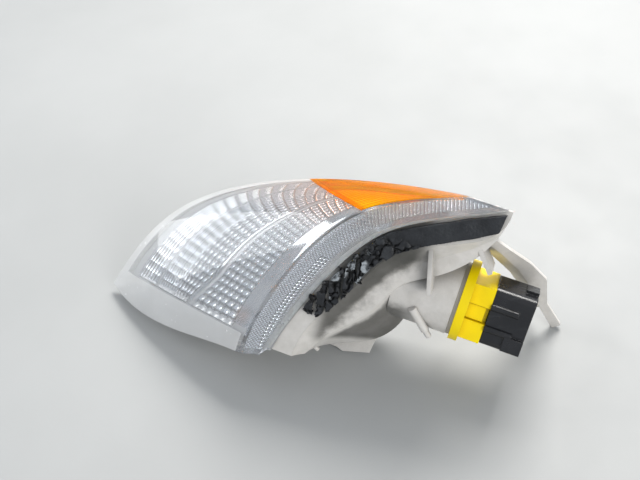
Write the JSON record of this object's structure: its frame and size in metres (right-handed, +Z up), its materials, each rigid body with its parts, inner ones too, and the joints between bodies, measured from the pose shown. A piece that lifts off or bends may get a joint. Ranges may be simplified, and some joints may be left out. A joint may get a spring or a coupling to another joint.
{
  "type": "turn signal indicator",
  "caption": "Wraparound corner turn signal lamp: clear fluted lens, amber side panel, foam seal strip, grey housing with bracket arm, twist-lock bulb socket and connector.",
  "frame": {"origin": "on the floor, under the centre of the bounding box of the lamp lying at rest", "axes": "+Z up, +X along the lamp from the pointed front corner of the lens toward the connector, -Y toward the viewer of the side with the foam seal"},
  "size_m": [0.2412, 0.097, 0.1054],
  "materials": {
    "clear_lens": "moulded clear plastic, fluted inside",
    "amber_lens": "moulded amber plastic",
    "sealant": "cured bead",
    "grey_housing": "moulded warm grey plastic",
    "reflector_coat": "bright metallised coating",
    "black_foam": "aged closed-cell foam",
    "yellow_socket": "moulded yellow plastic",
    "gasket_rubber": "matt",
    "black_connector": "moulded glossy black plastic",
    "tinned_metal": "tinned",
    "bulb_brass": "stamped",
    "black_glass": "glossy",
    "solder": "dull",
    "bulb_glass": "blown amber glass",
    "clear_glass": "drawn glass",
    "tungsten": "drawn wire",
    "spring_steel": "bright wire",
    "contact_brass": "bright",
    "carrier_fibre": "pressed fibre board"
  },
  "bodies": {
    "lamp": {"lens_clear": "clear_lens", "lens_amber": "amber_lens", "lens_sealant": "sealant", "housing": "grey_housing", "reflector": "reflector_coat", "foam_strip": "black_foam", "foam_fragment_1": "black_foam", "foam_fragment_2": "black_foam", "foam_fragment_3": "black_foam", "foam_fragment_4": "black_foam"},
    "socket": {"socket_body": "yellow_socket", "socket_gasket": "gasket_rubber", "connector_shell": "black_connector", "terminal_ground": "tinned_metal", "terminal_feed": "tinned_metal", "bayonet_sleeve": "tinned_metal"},
    "bulb": {"bulb_cap": "bulb_brass", "bulb_pins": "bulb_brass", "bulb_pellet": "black_glass", "bulb_contact": "solder", "bulb_glass": "bulb_glass", "bulb_stem": "clear_glass", "filament_posts": "tungsten", "filament": "tungsten", "contact_button": "contact_brass", "contact_carrier": "carrier_fibre", "contact_spring": "spring_steel"}
  },
  "joints": [
    {"name": "socket_twist", "type": "hinge", "parent": "lamp", "child": "socket", "pos_m": [0.06626, -0.01946, 0.04183], "axis": [0.9215, -0.3537, -0.1603], "range_deg": [0, 50]},
    {"name": "bulb_push", "type": "slide", "parent": "socket", "child": "bulb", "axis": [0.9215, -0.3537, -0.1603], "range_m": [0, 0.002], "stiffness_N_per_m": 2500, "springref_m": -0.003}
  ]
}
